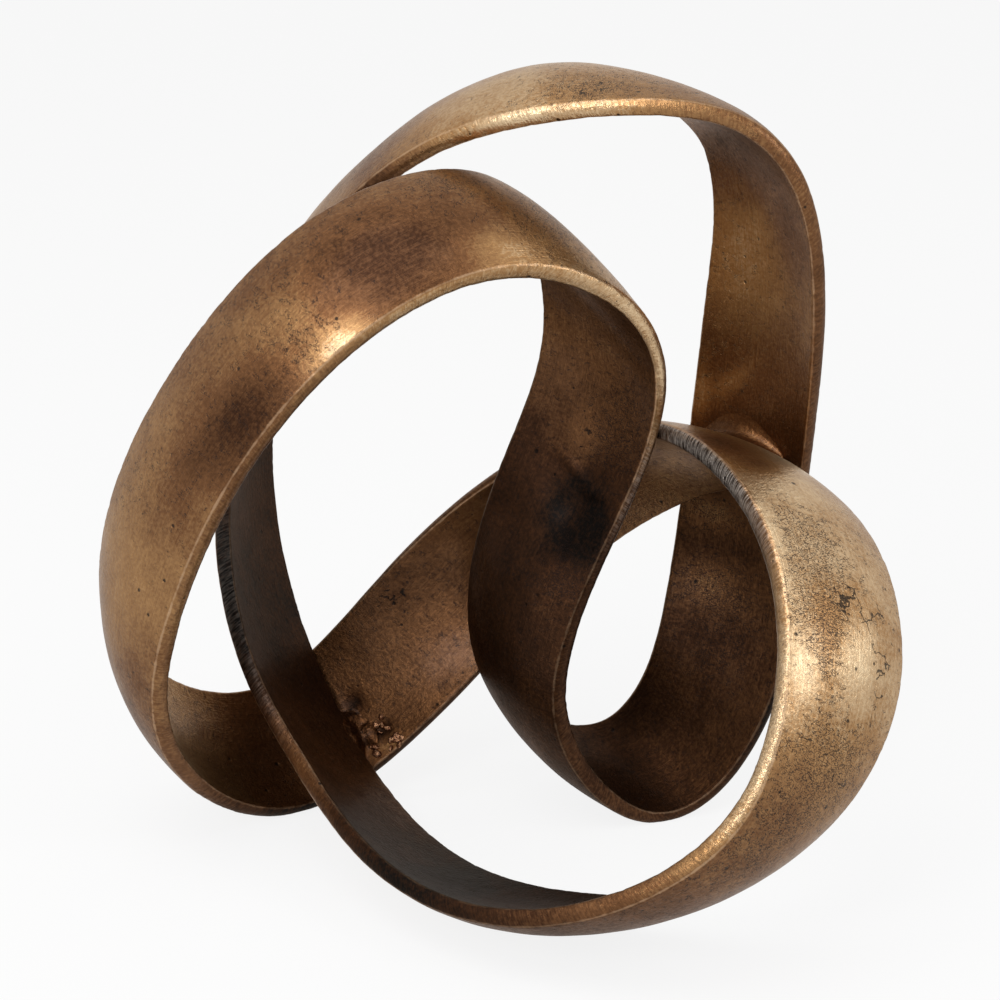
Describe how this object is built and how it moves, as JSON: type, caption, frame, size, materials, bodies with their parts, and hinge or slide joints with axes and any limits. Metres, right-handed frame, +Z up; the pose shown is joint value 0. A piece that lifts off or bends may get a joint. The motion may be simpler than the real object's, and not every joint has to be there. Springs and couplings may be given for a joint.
{
  "type": "metal knot sculpture",
  "caption": "Free-standing table sculpture: one broad crowned metal band wound through tall interlocking loops and joined back into itself, resting on small flat lands.",
  "frame": {"origin": "on the table, under the middle of the overall box", "axes": "+Z up from the table, +X to the right and +Y to the back, away from the front bow"},
  "size_m": [0.2913, 0.2415, 0.2933],
  "materials": {
    "casting": "antique golden brown patina on cast metal, rubbed bright at the rims",
    "filler": "weld filler under the same patina"
  },
  "bodies": {
    "root": {"arch_weld": "filler", "base_bow": "casting", "butt_weld_base_bow": "filler", "butt_weld_cross_strap": "filler", "butt_weld_inner_hook": "filler", "butt_weld_left_arch": "filler", "butt_weld_left_bow": "filler", "butt_weld_left_foot": "filler", "butt_weld_rear_arch": "filler", "butt_weld_rear_post": "filler", "butt_weld_rear_riser": "filler", "butt_weld_right_bow": "filler", "cross_strap": "casting", "foot_weld": "filler", "inner_hook": "casting", "left_arch": "casting", "left_bow": "casting", "left_foot": "casting", "post_weld": "filler", "rear_arch": "casting", "rear_post": "casting", "rear_riser": "casting", "right_bow": "casting"}
  },
  "joints": []
}
